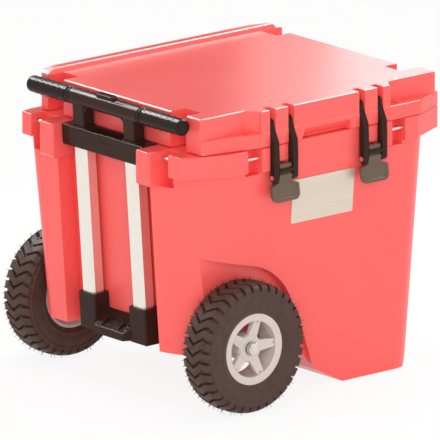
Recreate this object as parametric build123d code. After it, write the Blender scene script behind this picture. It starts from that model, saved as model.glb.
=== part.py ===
from build123d import *
import math
import os

os.makedirs("parts", exist_ok=True)

# Driving sizes of the whole cooler, in millimetres. X runs along the length with the pull handle at -X,
# Y across with the latches at -Y and the hinge at +Y, Z up from the floor.
LENGTH = 594.0
HALF = LENGTH / 2
FIT = 0.05

# Wheels and axle
TYRE_D = 228.6
TYRE_W = 66.0
TRACK = 480.0
AXLE_Z = TYRE_D / 2
AXLE_D = 15.0
RIM_R = 62.0
BEARING_D = 35.0
BEARING_W = 11.0
HUB_HALF = 19.0
TREAD_DEPTH = 6.0
LUG_COUNT = 36
TREAD_FILL = 0.8
SPOKE_COUNT = 5
SPOKE_TURN = 14.0
WHEEL_GAP = 5.0
CLAMP_Y = 150.0
CLAMP_W = 32.0

# Tub: outer wall planes at the rim and their run-in at the floor, rim band, wall cavity
RIM_Z = 456.0
LUG_OUT = 18.0
FAR_BAND = 35.0
FRONT_TOP = -243.0
FRONT_LOW = FRONT_TOP + 37.0
BACK_TOP = 209.0
BACK_LOW = BACK_TOP - 29.0
END_TOP = LUG_OUT - HALF
END_LOW = END_TOP + 32.0
FAR_TOP = HALF - FAR_BAND
FAR_LOW = FAR_TOP - 12.0
BACK_CORNER_R = 30.0
WHEEL_CORNER_R = 105.0
LATCH_CORNER_R = 53.0
CORNER_RUN_IN = 8.0
WALL_OVER = 20.0
AXLE_X = END_TOP + 113.5
BAND_H = 40.0
BAND_FRONT = FRONT_TOP - 4.0
BAND_BACK = BACK_TOP + 12.0
CAVITY_FLOOR = 150.0
CAVITY_R = 40.0
END_SKIN = 30.0
SIDE_WALL = 42.0
BELLY_Z = 96.0
WELL_Y = TRACK / 2 - TYRE_W / 2 - WHEEL_GAP
WELL_R = TYRE_D / 2 + 21.7
CHANNEL_HALF = 123.0
CHANNEL_DEPTH = 34.0
TAPER = (END_LOW - END_TOP) / RIM_Z
TILT = math.degrees(math.atan(TAPER))

DRAIN_Z = CAVITY_FLOOR + 15.0
DRAIN_R = 13.0
DRAIN_BORE_R = 10.0
PLATE_W = 138.0
PLATE_H = 78.0
PLATE_Z = 347.0

# Lid
LID_GAP = 1.0
LOCK_LAND = 0.6
LID_Z = RIM_Z + LID_GAP
LID_H = 63.0
LID_TOP = LID_Z + LID_H
LEDGE_Z = LID_Z + 25.0
RIDGE_H = 8.5
LID_END = END_TOP + 34.0
LID_FAR = HALF - 15.0
LID_FRONT = FRONT_TOP - 3.0
LID_POCKET = LID_FRONT + 24.0
LID_BACK = BACK_TOP + 2.0
NOTCH_IN = 142.0
NOTCH_W = 42.0
NOTCH_DEPTH = 33.0
SEAL_W = 8.6
SEAL_ROOM = 8.0

# Hinge
HINGE_Y = LID_BACK + 11.0
HINGE_Z = LID_Z - 11.0
HINGE_ROD_D = 8.0
KNUCKLE_R = 9.0
KNUCKLE_W = 50.0
HINGE_X = 15.0
HINGE_PITCH = 140.0

# Latches
LATCH_MID = 15.0
LATCH_PITCH = 200.0
ARM_W = 11.8
ARM_IN = 14.7
LATCH_PIN_D = 6.0
LID_PIN_Y = LID_FRONT + 11.0
LID_PIN_Z = LID_TOP - 26.0
LEVER_PIN_Y = FRONT_TOP - 8.7
LEVER_PIN_Z = RIM_Z - 54.0
KEEPER_Y = FRONT_TOP - 3.0
KEEPER_H = 30.0
BLOCK_W = 18.0
BLOCK_H = 43.0
LEVER_W = 60.0

# Pull handle
TUBE_PITCH = 134.0
TUBE_Y = 32.0
TUBE_X = 26.0
TUBE_WALL = 2.0
STAGE_Y = 24.0
STAGE_X = 18.0
STAGE_WALL = 1.5
TUBE_INSET = 17.0
BAR_S = 507.0
BAR_R = 14.5
BAR_HALF = 203.0
BAR_MID_HALF = 90.0
BRACKET_LOW = 421.0
BRACKET_TOP = 459.0
BRACKET_LIP = 1.5
LEG_Y = 29.0
LEG_X = 24.0
LUG_IN = 110.0
LUG_W = 36.0
LUG_H = 61.0
SLOT_W = 30.0
BACK_SLOT_W = 42.0


def block(x0, x1, y0, y1, z0, z1):
    size = (abs(x1 - x0), abs(y1 - y0), abs(z1 - z0))
    return Pos((x0 + x1) / 2, (y0 + y1) / 2, (z0 + z1) / 2) * Box(*size)


def prism_xy(points, z0, z1):
    face = make_face(Polyline(*points, close=True))
    return extrude(Pos(0, 0, z0) * face, z1 - z0, dir=(0, 0, 1))


def prism_xz(points, y0, y1):
    face = make_face(Polyline(*[(x, y0, z) for x, z in points], close=True))
    return extrude(face, y1 - y0, dir=(0, 1, 0))


def prism_yz(points, x0, x1):
    face = make_face(Polyline(*[(x0, y, z) for y, z in points], close=True))
    return extrude(face, x1 - x0, dir=(1, 0, 0))


def rod_x(x0, x1, y, z, r):
    return Pos((x0 + x1) / 2, y, z) * Rot(0, 90, 0) * Cylinder(r, x1 - x0)


def rod_y(x, y0, y1, z, r):
    return Pos(x, (y0 + y1) / 2, z) * Rot(90, 0, 0) * Cylinder(r, abs(y1 - y0))


def rod_z(x, y, z0, z1, r):
    return Pos(x, y, (z0 + z1) / 2) * Cylinder(r, z1 - z0)


def soften(part, upright, top=0, low=0):
    if upright:
        part = fillet(part.edges().filter_by(Axis.Z), upright)
    if top:
        part = fillet(part.faces().sort_by(Axis.Z)[-1].edges(), top)
    if low:
        part = fillet(part.faces().sort_by(Axis.Z)[0].edges(), low)
    return part


def end_wall(z):
    return END_TOP + (RIM_Z - z) * TAPER


def front_wall(z):
    return FRONT_TOP + (RIM_Z - z) * (FRONT_LOW - FRONT_TOP) / RIM_Z


def far_wall(z):
    return FAR_TOP + (RIM_Z - z) * (FAR_LOW - FAR_TOP) / RIM_Z


def along_handle(part):
    return Pos(end_wall(0) + TUBE_INSET, 0, 0) * Rot(0, -TILT, 0) * part


def latch_sides():
    return ((LATCH_MID - LATCH_PITCH / 2, -1), (LATCH_MID + LATCH_PITCH / 2, 1))


def span(a, b):
    return (min(a, b), max(a, b))


# Tub: one rotomoulded double-walled body with tapered sides, wheel arches and a handle channel. Its
# corner bands, handle lugs and latch keepers stand out from the walls as solids of their own.
def wall_plan(x0, x1, y0, y1, run_in):
    outline = Pos((x0 + x1) / 2, (y0 + y1) / 2) * Rectangle(x1 - x0, y1 - y0)
    near, far = outline.vertices().sort_by(Axis.X)[:2], outline.vertices().sort_by(Axis.X)[2:]
    corners = ((near.sort_by(Axis.Y)[0], WHEEL_CORNER_R), (far.sort_by(Axis.Y)[0], LATCH_CORNER_R))
    corners += ((near.sort_by(Axis.Y)[1], BACK_CORNER_R), (far.sort_by(Axis.Y)[1], BACK_CORNER_R))
    for corner, radius in corners:
        spot = min(outline.vertices(), key=lambda v: abs(v.X - corner.X) + abs(v.Y - corner.Y))
        outline = fillet(spot, radius - CORNER_RUN_IN * run_in)
    return outline


def wall_section(z):
    run_in = (RIM_Z - z) / RIM_Z
    back = BACK_TOP + (BACK_LOW - BACK_TOP) * run_in
    return Pos(0, 0, z) * wall_plan(end_wall(z), far_wall(z), front_wall(z), back, run_in)


def tub_walls(over=0.0):
    return loft([wall_section(-over), wall_section(RIM_Z + over)], ruled=True)


def tub_underside():
    foot = AXLE_X + WELL_R + 115
    heel = FAR_LOW - 21
    heel_z = 75
    belly = [(-400, -5), (-400, BELLY_Z), (foot - 118, BELLY_Z), (foot - 58, 30), (foot, 0), (foot, -5)]
    bevel = [(heel, -5), (heel, 0), (far_wall(heel_z) + 1, heel_z), (400, heel_z), (400, -5)]
    return prism_xz(belly, -300, 300) + prism_xz(bevel, -300, 300)


def on_arch(angle):
    turn = math.radians(angle)
    return (AXLE_X + WELL_R * math.sin(turn), AXLE_Z + WELL_R * math.cos(turn))


def wheel_well(side):
    y0, y1 = span(side * WELL_Y, side * 320)
    reach = AXLE_X - 160
    crown, shoulder, heel = [(x, y0, z) for x, z in (on_arch(12), on_arch(45), on_arch(78))]
    knee = (AXLE_X + 1.14 * WELL_R, y0, AXLE_Z - 10)
    foot = (AXLE_X + 1.48 * WELL_R, y0, -5)
    rise = (reach, y0, AXLE_Z + WELL_R + 46)
    edges = Polyline(heel, knee, foot, (reach, y0, -5), rise, crown)
    outline = make_face(edges.edges() + [ThreePointArc(crown, shoulder, heel)])
    return extrude(outline, y1 - y0, dir=(0, 1, 0))


def band_plan(far, side):
    y_out = BAND_FRONT if side < 0 else BAND_BACK
    y_deep = y_out - side * 45
    if far and side < 0:
        start, bend, corner = LATCH_MID + LATCH_PITCH / 2 + 76, HALF - 78, y_out + 36
    elif far:
        start, bend, corner = HALF - 103, HALF - 78, y_out - 26
    elif side < 0:
        start, bend, corner = LATCH_MID - LATCH_PITCH / 2 - 76, END_TOP + 80, y_out + 36
    else:
        start, bend, corner = END_TOP + 105, END_TOP + 24, y_out - 6
    if far:
        tail = [(HALF, side * 120), (FAR_TOP - 30, side * 120)]
    else:
        slot = side * (LUG_IN + LUG_W + (SLOT_W if side < 0 else BACK_SLOT_W))
        tail = [(END_TOP, slot), (LID_END - 4, slot)]
    tip = HALF if far else END_TOP
    return [(start, y_out), (bend, y_out), (tip, corner)] + tail + [(start, y_deep)]


def stands_on(edge, points):
    mid = edge.center()
    return any(abs(mid.X - x) + abs(mid.Y - y) < 0.1 for x, y in points)


def corner_band(far, side):
    plan = band_plan(far, side)
    band = prism_xy(plan, RIM_Z - BAND_H, RIM_Z)
    band = fillet([e for e in band.edges().filter_by(Axis.Z) if stands_on(e, plan[1:3])], 6)
    band = fillet(band.faces().sort_by(Axis.Z)[-1].edges(), 2.5)
    return fillet(band.faces().sort_by(Axis.Z)[0].edges(), 2.5)


def far_rail():
    rail = block(FAR_TOP - 30, HALF, -120, 120, RIM_Z - BAND_H, RIM_Z)
    return fillet(rail.edges().filter_by(Axis.Y).sort_by(Axis.X)[-2:], 2.5)


def handle_lug(side):
    y0, y1 = span(side * LUG_IN, side * (LUG_IN + LUG_W))
    low, back = RIM_Z - LUG_H, LID_END - 2
    side_view = [(-HALF, low + 6), (-HALF + 6, low), (back, low), (back, RIM_Z), (-HALF, RIM_Z)]
    lug = prism_xz(side_view, y0, y1)
    front = [e for e in lug.edges().filter_by(Axis.Z) if e.center().X < -HALF + 1]
    lug = fillet(front, 5)
    return fillet(lug.faces().sort_by(Axis.Z)[-1].edges(), 2.5)


def cavity_floor_box():
    half = WELL_Y - SIDE_WALL
    near = end_wall(CAVITY_FLOOR) + CHANNEL_DEPTH + END_SKIN
    return (near, far_wall(CAVITY_FLOOR) - SIDE_WALL, -half, half)


def cavity_mouth_box():
    near = LID_END + NOTCH_DEPTH + SEAL_W + SEAL_ROOM
    return (near, FAR_TOP - SIDE_WALL, FRONT_TOP + SIDE_WALL, BACK_TOP - SIDE_WALL)


def rounded_plan(box, grow, radius, z):
    x0, x1, y0, y1 = box
    outline = RectangleRounded(x1 - x0 + 2 * grow, y1 - y0 + 2 * grow, radius + grow)
    return Pos((x0 + x1) / 2, (y0 + y1) / 2, z) * outline


def tub_cavity():
    low = rounded_plan(cavity_floor_box(), 0, CAVITY_R, CAVITY_FLOOR)
    top = rounded_plan(cavity_mouth_box(), 0, CAVITY_R, RIM_Z + 1)
    hollow = loft([low, top], ruled=True)
    return fillet(hollow.faces().sort_by(Axis.Z)[0].edges(), 16)


def handle_channel():
    pts = [(end_wall(0) - 60, 0), (end_wall(0) + CHANNEL_DEPTH, 0)]
    pts += [(end_wall(RIM_Z + 10) + CHANNEL_DEPTH, RIM_Z + 10), (end_wall(RIM_Z + 10) - 60, RIM_Z + 10)]
    return prism_xz(pts, -CHANNEL_HALF, CHANNEL_HALF)


def end_slot(side):
    wide = SLOT_W if side < 0 else BACK_SLOT_W
    y0, y1 = span(side * (LUG_IN + LUG_W), side * (LUG_IN + LUG_W + wide))
    return block(-HALF - 5, LID_END - 4, y0, y1, RIM_Z - LUG_H, RIM_Z + 5)


def side_block_start():
    return ARM_IN + ARM_W + 1.5


def keeper_block(mid):
    half = ARM_IN - 1.2
    keep = block(mid - half, mid + half, KEEPER_Y, FRONT_TOP + 18, RIM_Z - KEEPER_H, RIM_Z - 0.5)
    return fillet(keep.edges().filter_by(Axis.X).sort_by(Axis.Y)[:2], 2.5)


def side_block(mid, out):
    x0, x1 = span(mid + out * side_block_start(), mid + out * (side_block_start() + BLOCK_W))
    side = block(x0, x1, KEEPER_Y - 2, FRONT_TOP + 18, RIM_Z - BLOCK_H, RIM_Z - 0.5)
    side = fillet(side.edges().filter_by(Axis.X).sort_by(Axis.Y)[:2], 2.5)
    return side - lock_rod(mid, out, FIT)


def latch_cuts(mid, out):
    half = ARM_IN - 0.6
    nose = block(mid - half, mid + half, FRONT_TOP - 80, LEVER_PIN_Y + 25, LEVER_PIN_Z - 20, RIM_Z - KEEPER_H)
    x0, x1 = span(mid + out * (side_block_start() + BLOCK_W), mid + out * (side_block_start() + BLOCK_W + 30))
    lock = block(x0, x1, FRONT_TOP - 80, FRONT_TOP + 20, RIM_Z - BAND_H - 6, RIM_Z + 5)
    return nose + lock


def tub_knuckles():
    out = None
    for k in (-1, 0, 1):
        x = HINGE_X + k * HINGE_PITCH
        web = [(BACK_TOP - 14, HINGE_Z - 34), (HINGE_Y + 3, HINGE_Z - 8), (HINGE_Y, RIM_Z - 1)]
        web += [(BACK_TOP - 14, RIM_Z - 1)]
        one = prism_yz(web, x - KNUCKLE_W / 2, x + KNUCKLE_W / 2)
        one = one + rod_x(x - KNUCKLE_W / 2, x + KNUCKLE_W / 2, HINGE_Y, HINGE_Z, KNUCKLE_R)
        out = one if out is None else out + one
    return out


def screw_spots():
    return [(s, y) for s in (BRACKET_LOW + 19, BELLY_Z + 23) for y in (-22.0, 22.0)]


def build_tub():
    tub = tub_walls() - tub_underside()
    tub = tub - wheel_well(-1) - wheel_well(1) - handle_channel()
    for side in (-1, 1):
        tub = tub - end_slot(side)
    for mid, out in latch_sides():
        tub = tub - latch_cuts(mid, out)
    tub = tub + tub_knuckles() - tub_cavity()
    tub = tub - rod_x(HINGE_X - 200, HINGE_X + 200, HINGE_Y, HINGE_Z, HINGE_ROD_D / 2 + FIT)
    groove = block(AXLE_X - AXLE_D / 2 - FIT, AXLE_X + AXLE_D / 2 + FIT, -300, 300, 0, AXLE_Z)
    groove = groove + rod_y(AXLE_X, -300, 300, AXLE_Z, AXLE_D / 2 + FIT)
    tub = tub - groove
    tub = tub - rod_x(FAR_LOW - 100, HALF + 33, 0, DRAIN_Z, DRAIN_R + FIT)
    for side in (-1, 1):
        tub = tub - end_rod(side, FIT)
    for mid, out in latch_sides():
        tub = tub - lock_rod(mid, out, FIT)
    for s, y in screw_spots():
        tub = tub - along_handle(rod_x(10, TUBE_INSET + 16 + FIT, y, s, 2.0 + FIT))
    for x, y in clamp_spots():
        tub = tub - rod_z(x, y, BELLY_Z - 1, BELLY_Z + 14, 2.0 + FIT)
    return tub


def build_bands():
    walls = tub_walls(WALL_OVER)
    bands = [far_rail() - walls]
    for side in (-1, 1):
        for far in (False, True):
            band = corner_band(far, side) - walls - end_rod(side, FIT)
            for mid, out in latch_sides():
                band = band - lock_rod(mid, out, FIT)
            bands.append(band)
    return bands


def build_lugs():
    walls = tub_walls(WALL_OVER) - handle_channel()
    return [handle_lug(side) - walls - end_rod(side, FIT) for side in (-1, 1)]


def build_keepers():
    walls = tub_walls(WALL_OVER)
    keepers = []
    for mid, out in latch_sides():
        keepers += [keeper_block(mid) - walls, side_block(mid, out) - walls]
    return keepers


# Steel rods that a strap or padlock goes round
def end_rod(side, extra=0.0):
    wide = SLOT_W if side < 0 else BACK_SLOT_W
    y0, y1 = span(side * (LUG_IN + LUG_W - 12), side * (LUG_IN + LUG_W + wide + 12))
    return rod_y(end_wall(RIM_Z) + 12, y0 - extra, y1 + extra, RIM_Z - 13, 3.25 + extra)


def lock_rod(mid, out, extra=0.0):
    start = side_block_start() + BLOCK_W
    x0, x1 = span(mid + out * (start - 12), mid + out * (start + 43))
    return rod_x(x0 - extra, x1 + extra, BAND_FRONT + 8, RIM_Z - 17, 3.25 + extra)


def clamp_spots():
    return [(AXLE_X + dx, side * CLAMP_Y) for dx in (-22, 22) for side in (-1, 1)]


tub = build_tub()
bands = build_bands()
lugs = build_lugs()
keepers = build_keepers()
end_rods = [end_rod(-1), end_rod(1)]
lock_rods = [lock_rod(mid, out) for mid, out in latch_sides()]
hinge_half = HINGE_PITCH + KNUCKLE_W / 2 + 1
hinge_rod = rod_x(HINGE_X - hinge_half, HINGE_X + hinge_half, HINGE_Y, HINGE_Z, HINGE_ROD_D / 2)


# Lid: rotomoulded slab with a raised hinge ridge, end notches, corner ledges and latch slots
def lid_outline(low):
    near = LATCH_MID - LATCH_PITCH / 2 - ARM_IN - ARM_W - 1 - BLOCK_W
    far = LATCH_MID + LATCH_PITCH / 2 + ARM_IN + ARM_W + 1 + BLOCK_W
    if low:
        front = [(LID_END, LID_POCKET - 3), (near, LID_FRONT - 1), (far, LID_FRONT - 1)]
        front += [(HALF - 70, LID_FRONT)]
        front += [(HALF - 3, LID_POCKET + 8)]
        x_far = HALF - 3
    else:
        front = [(LID_END, LID_POCKET), (near - 15, LID_POCKET), (near, LID_FRONT + 6), (near, LID_FRONT)]
        front += [(far, LID_FRONT), (far, LID_FRONT + 6), (far + 15, LID_POCKET), (LID_FAR, LID_POCKET)]
        x_far = LID_FAR
    back = [(x_far, LID_BACK - 24), (x_far - 74, LID_BACK), (LID_END + 12, LID_BACK)]
    back += [(LID_END, LID_BACK - 9)]
    return front + back


def lid_notches():
    cuts = None
    for side in (-1, 1):
        y0, y1 = span(side * NOTCH_IN, side * (NOTCH_IN + NOTCH_W))
        one = block(LID_END - 5, LID_END + NOTCH_DEPTH, y0, y1, LID_Z - 5, LID_TOP + 20)
        one = one + block(LID_FAR - 15 - NOTCH_DEPTH, LID_FAR + 5, y0, y1, LEDGE_Z, LID_TOP + 20)
        cuts = one if cuts is None else cuts + one
    return cuts + block(LID_FAR - 19, LID_FAR + 5, -NOTCH_IN, NOTCH_IN, LEDGE_Z, LID_TOP + 20)


def lid_slots(mid):
    cuts = None
    for side in (-1, 1):
        x0, x1 = span(mid + side * (ARM_IN - 0.7), mid + side * (ARM_IN + ARM_W + 0.7))
        one = block(x0, x1, -320, LID_PIN_Y + 10, LID_Z - 5, LID_TOP + 20)
        cuts = one if cuts is None else cuts + one
    return cuts


def lid_pin(mid, out, extra=0.0):
    x0, x1 = span(mid - out * (ARM_IN + ARM_W + 9), mid + out * (ARM_IN + ARM_W + 1 + BLOCK_W + 0.5))
    return rod_x(x0, x1, LID_PIN_Y, LID_PIN_Z, LATCH_PIN_D / 2 + extra)


def lid_ridge():
    rise = LID_TOP + RIDGE_H
    foot = NOTCH_IN + NOTCH_W + 0.5
    section = [(foot, LID_TOP - 2), (foot, LID_TOP), (foot + 4, rise - 1.5), (foot + 6, rise)]
    section += [(LID_BACK - 6, rise)]
    section += [(LID_BACK - 1.5, rise - 4), (LID_BACK - 0.5, LID_TOP - 2)]
    ridge = prism_yz(section, LID_END + 1, LID_FAR - 14)
    ends = [(LID_END + 1, LID_TOP - 3), (LID_END + 1, LID_TOP + 1), (LID_END + 8, LID_TOP + 4.5)]
    ends += [(LID_END + 22, rise - 1), (LID_END + 40, rise + 1), (LID_FAR - 22, rise + 1)]
    ends += [(LID_FAR - 14, rise - 5), (LID_FAR - 14, LID_TOP - 3)]
    plan = [(LID_END, 150), (LID_FAR, 150), (LID_FAR, LID_BACK - 24), (LID_FAR - 74, LID_BACK)]
    plan += [(LID_END + 12, LID_BACK)]
    plan += [(LID_END, LID_BACK - 9)]
    return (ridge & prism_xz(ends, 100, 300)) & prism_xy(plan, LID_TOP - 5, rise + 5)


def lid_knuckles():
    out = None
    for k in (-1, 1):
        outer = HINGE_PITCH - KNUCKLE_W / 2 - 1
        x0, x1 = span(HINGE_X + k * outer, HINGE_X + k * (outer - KNUCKLE_W))
        web = [(HINGE_Y - KNUCKLE_R, HINGE_Z), (HINGE_Y + KNUCKLE_R, HINGE_Z)]
        web += [(HINGE_Y + KNUCKLE_R, LID_Z + 12)]
        web += [(LID_BACK - 4, LID_Z + 30), (LID_BACK - 4, LID_Z + 0.5), (HINGE_Y - KNUCKLE_R, LID_Z + 0.5)]
        one = prism_yz(web, x0, x1) + rod_x(x0, x1, HINGE_Y, HINGE_Z, KNUCKLE_R)
        out = one if out is None else out + one
    return out


def seal_loop(z0, z1, wide):
    outer = rounded_plan(cavity_mouth_box(), SEAL_ROOM + wide / 2, CAVITY_R, z0)
    inner = rounded_plan(cavity_mouth_box(), SEAL_ROOM - wide / 2, CAVITY_R, z0)
    return extrude(outer - inner, z1 - z0, dir=(0, 0, 1))


def build_lid():
    low = soften(prism_xy(lid_outline(True), LID_Z, LEDGE_Z), 5, 2.5, 2)
    top = soften(prism_xy(lid_outline(False), LEDGE_Z - 6, LID_TOP), 4, 4)
    panel = rounded_plan(cavity_mouth_box(), -10, CAVITY_R, LID_Z - 7)
    lid = low + top + lid_ridge() + extrude(panel, 20, dir=(0, 0, 1))
    lid = lid + lid_knuckles() - lid_notches()
    for mid, out in latch_sides():
        lid = lid - lid_slots(mid) - lid_pin(mid, out, FIT)
        hole = mid + out * (ARM_IN + ARM_W + 41.5)
        lid = lid + rod_z(hole, LID_POCKET - 8, LID_Z - LOCK_LAND, LID_Z + 1, 8.0)
        lid = lid - rod_z(hole, LID_POCKET - 8, LID_Z - 5, LEDGE_Z + 5, 5.0)
    scoop = [(LID_FRONT - 3, LID_Z - 5), (LID_FRONT + 14, LID_Z - 5), (LID_FRONT + 14, LID_Z + 3)]
    scoop += [(LID_FRONT - 3, LID_Z + 20)]
    sides = [(LATCH_MID - 60, LID_Z - 5), (LATCH_MID - 46, LID_Z + 22), (LATCH_MID + 52, LID_Z + 22)]
    sides += [(LATCH_MID + 52, LID_Z - 5)]
    scoop = prism_yz(scoop, LATCH_MID - 70, LATCH_MID + 60) & prism_xz(sides, LID_FRONT - 10, LID_FRONT + 20)
    lid = lid - scoop
    lid = lid - rod_x(HINGE_X - 200, HINGE_X + 200, HINGE_Y, HINGE_Z, HINGE_ROD_D / 2 + FIT)
    return lid - seal_loop(LID_Z - 1, LID_Z + 5, SEAL_W + 0.4)


lid = build_lid()
lid_seal = seal_loop(RIM_Z + 0.2, LID_Z + 4.9, SEAL_W)
lid_pins = [lid_pin(mid, out) for mid, out in latch_sides()]


# Latches: a yoke hung on the lid pin and a lever pinned between its cheeks
def yoke_arm(x0, x1):
    y, z = LID_PIN_Y, LID_PIN_Z
    py, pz = LEVER_PIN_Y, LEVER_PIN_Z
    side = [(y + 6, z - 3), (y + 3, z - 24), (FRONT_TOP - 2, RIM_Z + 3), (FRONT_TOP - 2.4, pz + 6)]
    side += [(py + 6.5, pz - 4), (py + 2, pz - 7.8), (py - 3, pz - 7.5), (py - 6, pz - 3)]
    side += [(py - 6, pz + 38)]
    side += [(py - 4.5, pz + 62), (y - 8, z - 4), (y - 7, z + 4), (y - 2, z + 8), (y + 3, z + 7.5)]
    side += [(y + 7, z + 3)]
    arm = prism_yz(side, x0, x1)
    return fillet(arm.edges().filter_by(Axis.X).sort_by(Axis.Y)[:2], 2.0)


def build_yoke(mid):
    arms = yoke_arm(mid - ARM_IN - ARM_W, mid - ARM_IN) + yoke_arm(mid + ARM_IN, mid + ARM_IN + ARM_W)
    py, pz = LEVER_PIN_Y, LEVER_PIN_Z
    web = [(py - 2.4, pz + 8.2), (py - 5.8, pz + 7.4), (py - 5.8, pz + 13.5), (py - 2.4, pz + 13.5)]
    yoke = arms + prism_yz(web, mid - ARM_IN - 1, mid + ARM_IN + 1)
    yoke = yoke - rod_x(mid - 60, mid + 60, LID_PIN_Y, LID_PIN_Z, LATCH_PIN_D / 2 + 0.1)
    return yoke - rod_x(mid - 60, mid + 60, py, pz, LATCH_PIN_D / 2 + FIT)


def lever_pin(mid):
    half = ARM_IN + ARM_W
    pin = rod_x(mid - half - 0.8, mid + half + 0.8, LEVER_PIN_Y, LEVER_PIN_Z, LATCH_PIN_D / 2)
    heads = rod_x(mid - half - 1.2, mid - half - 0.1, LEVER_PIN_Y, LEVER_PIN_Z, 4.2)
    return pin + heads + rod_x(mid + half + 0.1, mid + half + 1.2, LEVER_PIN_Y, LEVER_PIN_Z, 4.2)


def build_lever(mid):
    py, pz = LEVER_PIN_Y, LEVER_PIN_Z
    stem = [(py - 3.5, pz - 12), (py + 3.5, pz - 12), (py + 4.7, pz + 4), (py + 4.7, pz + 22)]
    stem += [(py - 1.8, pz + 22)]
    stem += [(py - 3.0, pz + 20.5), (py - 3.0, pz + 15.0), (py - 1.4, pz + 14.4), (py - 1.4, pz + 5)]
    neck = prism_yz(stem, mid - ARM_IN + 0.7, mid + ARM_IN - 0.7)
    neck = neck + rod_x(mid - ARM_IN + 0.7, mid + ARM_IN - 0.7, py, pz, 5.2)
    half = LEVER_W / 2
    neck_half = ARM_IN - 0.7
    plan = [(mid - neck_half, pz - 2), (mid - neck_half, pz - 10), (mid - half, pz - 15)]
    plan += [(mid - half, pz - 43), (mid + half, pz - 43), (mid + half, pz - 15)]
    plan += [(mid + neck_half, pz - 10), (mid + neck_half, pz - 2)]
    section = [(py - 3.5, pz - 2), (py + 3.5, pz - 2), (py + 3.5, pz - 14), (py + 1.0, pz - 30)]
    section += [(py - 2.5, pz - 44)]
    section += [(py - 8.5, pz - 44), (py - 6.5, pz - 30), (py - 4.0, pz - 14)]
    paddle = prism_xz(plan, py - 30, py + 30)
    paddle = fillet(paddle.edges().filter_by(Axis.Y).sort_by(Axis.Z)[:2], 11.0)
    paddle = fillet(paddle.edges().filter_by(Axis.Y).sort_by(Axis.Z)[4:6], 3.0)
    paddle = paddle & prism_yz(section, mid - 60, mid + 60)
    inset = [(mid - 9, pz - 12), (mid - half + 6, pz - 18), (mid - half + 6, pz - 32)]
    inset += [(mid - half + 12, pz - 37)]
    inset += [(mid + half - 12, pz - 37), (mid + half - 6, pz - 32), (mid + half - 6, pz - 18)]
    inset += [(mid + 9, pz - 12)]
    skin = [(py - 30, pz - 10), (py - 2.8, pz - 10), (py - 2.8, pz - 14), (py - 5.3, pz - 30)]
    skin += [(py - 7.3, pz - 44)]
    skin += [(py - 30, pz - 44)]
    recess = prism_xz(inset, py - 30, py + 30) & prism_yz(skin, mid - 60, mid + 60)
    lever = neck + paddle - recess
    return lever - rod_x(mid - 60, mid + 60, py, pz, LATCH_PIN_D / 2 + 0.1)


yokes = [build_yoke(mid) for mid, out in latch_sides()]
lever_pins = [lever_pin(mid) for mid, out in latch_sides()]
levers = [build_lever(mid) for mid, out in latch_sides()]


# Pull handle: two fixed tubes between an upper guide and a step base, two sliding tubes with the grip bar
def bevelled(wide, deep, bevel):
    outline = Rectangle(deep, wide)
    return chamfer(outline.vertices(), bevel)


def tube(y, wide, deep, wall, s0, s1, bevel):
    outer = Pos(0, y, s0) * bevelled(wide, deep, bevel)
    inner = Pos(0, y, s0) * bevelled(wide - 2 * wall, deep - 2 * wall, bevel - 0.58 * wall)
    return extrude(outer - inner, s1 - s0, dir=(0, 0, 1))


def pocket(y, wide, deep, s0, s1, bevel):
    return extrude(Pos(0, y, s0) * bevelled(wide, deep, bevel), s1 - s0, dir=(0, 0, 1))


def build_guide():
    top = BRACKET_TOP - BRACKET_LIP
    body = block(-16, TUBE_INSET - 2, -LUG_IN + 0.8, LUG_IN - 0.8, BRACKET_LOW, top)
    body = fillet(body.edges().filter_by(Axis.Z).sort_by(Axis.X)[:2], 3)
    body = chamfer(body.edges().filter_by(Axis.Y).sort_by(Axis.X)[:2], 1.5)
    tray = TUBE_PITCH / 2 - 22
    body = body - block(-11, TUBE_INSET - 6, -tray, tray, BRACKET_TOP - 14, BRACKET_TOP + 5)
    for side in (-1, 1):
        y = side * TUBE_PITCH / 2
        body = body + pocket(y, LEG_Y + 6, LEG_X + 4, top - 4, BRACKET_TOP + BRACKET_LIP, 3)
        body = body - pocket(y, TUBE_Y + 2 * FIT, TUBE_X + 2 * FIT, BRACKET_LOW - 5, BRACKET_LOW + 20, 4.05)
        body = body - pocket(y, STAGE_Y + 0.8, STAGE_X + 0.8, BRACKET_LOW, BRACKET_TOP + 5, 3.3)
    for s, y in screw_spots()[:2]:
        body = body - rod_x(-20, 40, y, s, 2.0 + FIT) - rod_x(-20, -13.4, y, s, 4.2 + FIT)
    return along_handle(body)


def build_base():
    low, top = BELLY_Z - 4, 162.0
    half = TUBE_PITCH / 2
    wall = TUBE_INSET - 2
    ramp = [(-27, low), (-27, low + 20), (-25, low + 21.5), (wall, low + 41.5), (wall, low)]
    tread = [(wall, half - 10), (0, half - 10), (-16, half - 24), (-27, 38), (-27, -38)]
    tread += [(-16, -half + 24), (0, -half + 10), (wall, -half + 10)]
    body = prism_xz(ramp, -half, half) & prism_xy(tread, low, top)
    for side in (-1, 1):
        sock = block(-TUBE_X / 2 - 4, wall, side * half - 22, side * half + 22, low, top)
        sock = fillet(sock.edges().filter_by(Axis.Z).sort_by(Axis.X)[:2], 4)
        body = body + sock
    for side in (-1, 1):
        body = body - pocket(side * half, TUBE_Y + 2 * FIT, TUBE_X + 2 * FIT, low + 20, top + 5, 4.05)
    for s, y in screw_spots()[2:]:
        body = body - rod_x(-40, 40, y, s, 2.0 + FIT) - rod_x(-40, 3, y, s, 4.5)
    body = along_handle(body)
    return body - block(-400, 0, -300, 300, -50, BELLY_Z + 1)


def build_screw(s, y, head):
    return along_handle(rod_x(head, TUBE_INSET + 16, y, s, 2.0) + rod_x(head - 2.5, head, y, s, 4.2))


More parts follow.
